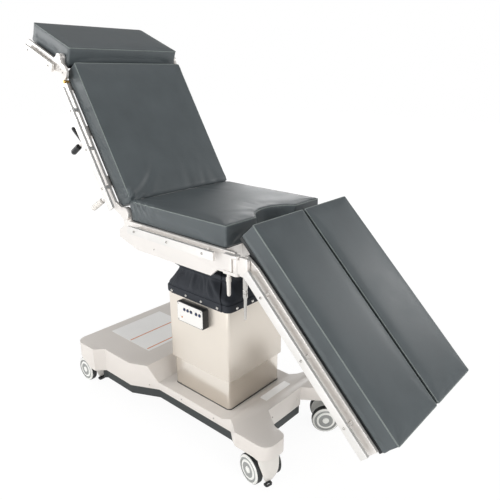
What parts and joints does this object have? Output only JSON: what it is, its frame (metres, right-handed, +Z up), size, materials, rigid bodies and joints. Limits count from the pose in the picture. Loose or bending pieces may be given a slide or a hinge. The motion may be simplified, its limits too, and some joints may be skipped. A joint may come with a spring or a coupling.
{
  "type": "electric operating table",
  "caption": "Electric operating table: wheeled base, telescopic column with leatherette boot, and a padded top with hinged head, back, seat and leg sections.",
  "frame": {"origin": "on the floor under the middle of the whole table's bounding box, at its rest pose", "axes": "+X towards the foot end, +Y towards the side away from the control panel, +Z up"},
  "size_m": [1.644, 0.584, 1.5099],
  "materials": {
    "painted_steel": "satin",
    "dark_frame": "matte",
    "inner_steel": "satin",
    "rail_steel": "polished",
    "boot_leatherette": "matte",
    "pad_leatherette": "satin",
    "deck_board": "matte",
    "black_plastic": "satin",
    "carriage_black": "matte",
    "white_plastic": "satin",
    "wheel_plastic": "satin",
    "panel_white": "matte",
    "button_blue": "satin"
  },
  "bodies": {
    "base": {"base_cover": "painted_steel", "base_frame": "dark_frame", "lift_cylinder": "inner_steel", "column_lower_cover": "painted_steel"},
    "lifting_column": {"lift_ram": "inner_steel", "column_upper_cover": "painted_steel", "column_boot": "boot_leatherette", "panel_housing": "black_plastic", "panel_face": "panel_white"},
    "tilt_cross": {"tilt_cross": "inner_steel"},
    "seat": {"tilt_carriage": "carriage_black", "seat_frame": "painted_steel", "seat_deck": "deck_board", "seat_cushion": "pad_leatherette", "seat_rail_near": "rail_steel", "seat_rail_far": "rail_steel"},
    "back": {"back_frame": "painted_steel", "back_deck": "deck_board", "back_cushion": "pad_leatherette", "back_rail_near": "rail_steel", "back_rail_far": "rail_steel"},
    "head": {"head_frame": "painted_steel", "head_deck": "deck_board", "head_cushion": "pad_leatherette", "head_rail_near": "rail_steel", "head_rail_far": "rail_steel"},
    "back_lever": {"back_lever": "black_plastic"},
    "back_black_grip": {"back_black_grip": "black_plastic"},
    "back_white_grip": {"back_white_grip": "white_plastic"},
    "leg_bracket_near": {"leg_bracket_near": "painted_steel"},
    "leg_near": {"leg_frame_near": "painted_steel", "leg_deck_near": "deck_board", "leg_cushion_near": "pad_leatherette", "leg_rail_near": "rail_steel"},
    "leg_lever_near": {"leg_lever_near": "inner_steel"},
    "seat_clamp_handle_near": {"seat_clamp_handle_near": "white_plastic"},
    "leg_bracket_far": {"leg_bracket_far": "painted_steel"},
    "leg_far": {"leg_frame_far": "painted_steel", "leg_deck_far": "deck_board", "leg_cushion_far": "pad_leatherette", "leg_rail_far": "rail_steel"},
    "leg_lever_far": {"leg_lever_far": "inner_steel"},
    "seat_clamp_handle_far": {"seat_clamp_handle_far": "white_plastic"},
    "caster_foot_near": {"caster_housing_foot_near": "white_plastic"},
    "wheels_foot_near": {"caster_wheels_foot_near": "wheel_plastic"},
    "pedal_foot_near": {"brake_pedal_foot_near": "black_plastic"},
    "caster_foot_far": {"caster_housing_foot_far": "white_plastic"},
    "wheels_foot_far": {"caster_wheels_foot_far": "wheel_plastic"},
    "pedal_foot_far": {"brake_pedal_foot_far": "black_plastic"},
    "caster_head_near": {"caster_housing_head_near": "white_plastic"},
    "wheels_head_near": {"caster_wheels_head_near": "wheel_plastic"},
    "pedal_head_near": {"brake_pedal_head_near": "black_plastic"},
    "caster_head_far": {"caster_housing_head_far": "white_plastic"},
    "wheels_head_far": {"caster_wheels_head_far": "wheel_plastic"},
    "pedal_head_far": {"brake_pedal_head_far": "black_plastic"},
    "panel_button_1": {"panel_button_1": "button_blue"},
    "panel_button_2": {"panel_button_2": "button_blue"},
    "panel_button_3": {"panel_button_3": "button_blue"},
    "panel_button_4": {"panel_button_4": "button_blue"},
    "panel_button_5": {"panel_button_5": "button_blue"}
  },
  "joints": [
    {"name": "column_lift", "type": "slide", "parent": "base", "child": "lifting_column", "axis": [0, 0, 1], "range_m": [-0.12, 0.145]},
    {"name": "top_tilt_pitch", "type": "hinge", "parent": "lifting_column", "child": "tilt_cross", "pos_m": [-0.03898, 0, 0.643], "axis": [0, -1, 0], "range_deg": [-25, 25], "deforming": ["column_boot"]},
    {"name": "top_tilt_roll", "type": "hinge", "parent": "tilt_cross", "child": "seat", "pos_m": [-0.03898, 0, 0.643], "axis": [1, 0, 0], "range_deg": [-20, 20]},
    {"name": "back_hinge", "type": "hinge", "parent": "seat", "child": "back", "pos_m": [-0.28898, 0, 0.86], "axis": [0, 1, 0], "range_deg": [-69, 16]},
    {"name": "head_hinge", "type": "hinge", "parent": "back", "child": "head", "pos_m": [-0.6035, 0, 1.39316], "axis": [0, 1, 0], "range_deg": [-52, 67]},
    {"name": "leg_spread_near", "type": "hinge", "parent": "seat", "child": "leg_bracket_near", "pos_m": [0.27302, -0.27, 0.788], "axis": [0, 0, -1], "range_deg": [0, 90]},
    {"name": "leg_hinge_near", "type": "hinge", "parent": "leg_bracket_near", "child": "leg_near", "pos_m": [0.30302, -0.257, 0.816], "axis": [0, 1, 0], "range_deg": [-59.7, 30.3]},
    {"name": "leg_lever_turn_near", "type": "hinge", "parent": "leg_bracket_near", "child": "leg_lever_near", "pos_m": [0.30702, -0.27, 0.774], "axis": [0, 0, 1], "range_deg": [-90, 90]},
    {"name": "seat_clamp_turn_near", "type": "hinge", "parent": "seat", "child": "seat_clamp_handle_near", "pos_m": [0.23902, -0.27, 0.77], "axis": [0, 0, 1], "range_deg": [-180, 180]},
    {"name": "leg_spread_far", "type": "hinge", "parent": "seat", "child": "leg_bracket_far", "pos_m": [0.27302, 0.27, 0.788], "axis": [0, 0, 1], "range_deg": [0, 90]},
    {"name": "leg_hinge_far", "type": "hinge", "parent": "leg_bracket_far", "child": "leg_far", "pos_m": [0.30302, 0.257, 0.816], "axis": [0, 1, 0], "range_deg": [-59.7, 30.3]},
    {"name": "leg_lever_turn_far", "type": "hinge", "parent": "leg_bracket_far", "child": "leg_lever_far", "pos_m": [0.30702, 0.27, 0.774], "axis": [0, 0, 1], "range_deg": [-90, 90]},
    {"name": "seat_clamp_turn_far", "type": "hinge", "parent": "seat", "child": "seat_clamp_handle_far", "pos_m": [0.23902, 0.27, 0.77], "axis": [0, 0, 1], "range_deg": [-180, 180]},
    {"name": "back_lever_pull", "type": "hinge", "parent": "back", "child": "back_lever", "pos_m": [-0.49921, 0, 1.0895], "axis": [0, 1, 0], "range_deg": [0, 10], "stiffness_Nm_per_rad": 2},
    {"name": "back_black_grip_turn", "type": "hinge", "parent": "back", "child": "back_black_grip", "pos_m": [-0.53951, -0.257, 1.08279], "axis": [0.8572, 0, 0.515], "range_deg": [-180, 180]},
    {"name": "back_white_grip_turn", "type": "hinge", "parent": "back", "child": "back_white_grip", "pos_m": [-0.4226, -0.257, 0.88821], "axis": [0.8572, 0, 0.515], "range_deg": [-180, 180]},
    {"name": "caster_swivel_foot_near", "type": "hinge", "parent": "base", "child": "caster_foot_near", "pos_m": [0.33702, -0.205, 0.118], "axis": [0, 0, 1], "continuous": true},
    {"name": "wheels_roll_foot_near", "type": "hinge", "parent": "caster_foot_near", "child": "wheels_foot_near", "pos_m": [0.31163, -0.19937, 0.0545], "axis": [0.2164, 0.9763, 0], "continuous": true},
    {"name": "brake_pedal_press_foot_near", "type": "hinge", "parent": "caster_foot_near", "child": "pedal_foot_near", "pos_m": [0.36465, -0.21113, 0.022], "axis": [0.2164, 0.9763, 0], "range_deg": [0, 20]},
    {"name": "caster_swivel_foot_far", "type": "hinge", "parent": "base", "child": "caster_foot_far", "pos_m": [0.33702, 0.205, 0.118], "axis": [0, 0, 1], "continuous": true},
    {"name": "wheels_roll_foot_far", "type": "hinge", "parent": "caster_foot_far", "child": "wheels_foot_far", "pos_m": [0.3171, 0.18829, 0.0545], "axis": [-0.6428, 0.766, 0], "continuous": true},
    {"name": "brake_pedal_press_foot_far", "type": "hinge", "parent": "caster_foot_far", "child": "pedal_foot_far", "pos_m": [0.3587, 0.22319, 0.022], "axis": [-0.6428, 0.766, 0], "range_deg": [0, 20]},
    {"name": "caster_swivel_head_near", "type": "hinge", "parent": "base", "child": "caster_head_near", "pos_m": [-0.66198, -0.209, 0.118], "axis": [0, 0, 1], "continuous": true},
    {"name": "wheels_roll_head_near", "type": "hinge", "parent": "caster_head_near", "child": "wheels_head_near", "pos_m": [-0.68798, -0.20855, 0.0545], "axis": [0.0175, 0.9998, 0], "continuous": true},
    {"name": "brake_pedal_press_head_near", "type": "hinge", "parent": "caster_head_near", "child": "pedal_head_near", "pos_m": [-0.63369, -0.20949, 0.022], "axis": [0.0175, 0.9998, 0], "range_deg": [0, 20]},
    {"name": "caster_swivel_head_far", "type": "hinge", "parent": "base", "child": "caster_head_far", "pos_m": [-0.66198, 0.209, 0.118], "axis": [0, 0, 1], "continuous": true},
    {"name": "wheels_roll_head_far", "type": "hinge", "parent": "caster_head_far", "child": "wheels_head_far", "pos_m": [-0.68741, 0.21441, 0.0545], "axis": [0.2079, 0.9781, 0], "continuous": true},
    {"name": "brake_pedal_press_head_far", "type": "hinge", "parent": "caster_head_far", "child": "pedal_head_far", "pos_m": [-0.6343, 0.20312, 0.022], "axis": [0.2079, 0.9781, 0], "range_deg": [0, 20]},
    {"name": "panel_button_press_1", "type": "slide", "parent": "lifting_column", "child": "panel_button_1", "axis": [0, 1, 0], "range_m": [0, 0.002], "stiffness_N_per_m": 400},
    {"name": "panel_button_press_2", "type": "slide", "parent": "lifting_column", "child": "panel_button_2", "axis": [0, 1, 0], "range_m": [0, 0.002], "stiffness_N_per_m": 400},
    {"name": "panel_button_press_3", "type": "slide", "parent": "lifting_column", "child": "panel_button_3", "axis": [0, 1, 0], "range_m": [0, 0.002], "stiffness_N_per_m": 400},
    {"name": "panel_button_press_4", "type": "slide", "parent": "lifting_column", "child": "panel_button_4", "axis": [0, 1, 0], "range_m": [0, 0.002], "stiffness_N_per_m": 400},
    {"name": "panel_button_press_5", "type": "slide", "parent": "lifting_column", "child": "panel_button_5", "axis": [0, 1, 0], "range_m": [0, 0.002], "stiffness_N_per_m": 400}
  ]
}
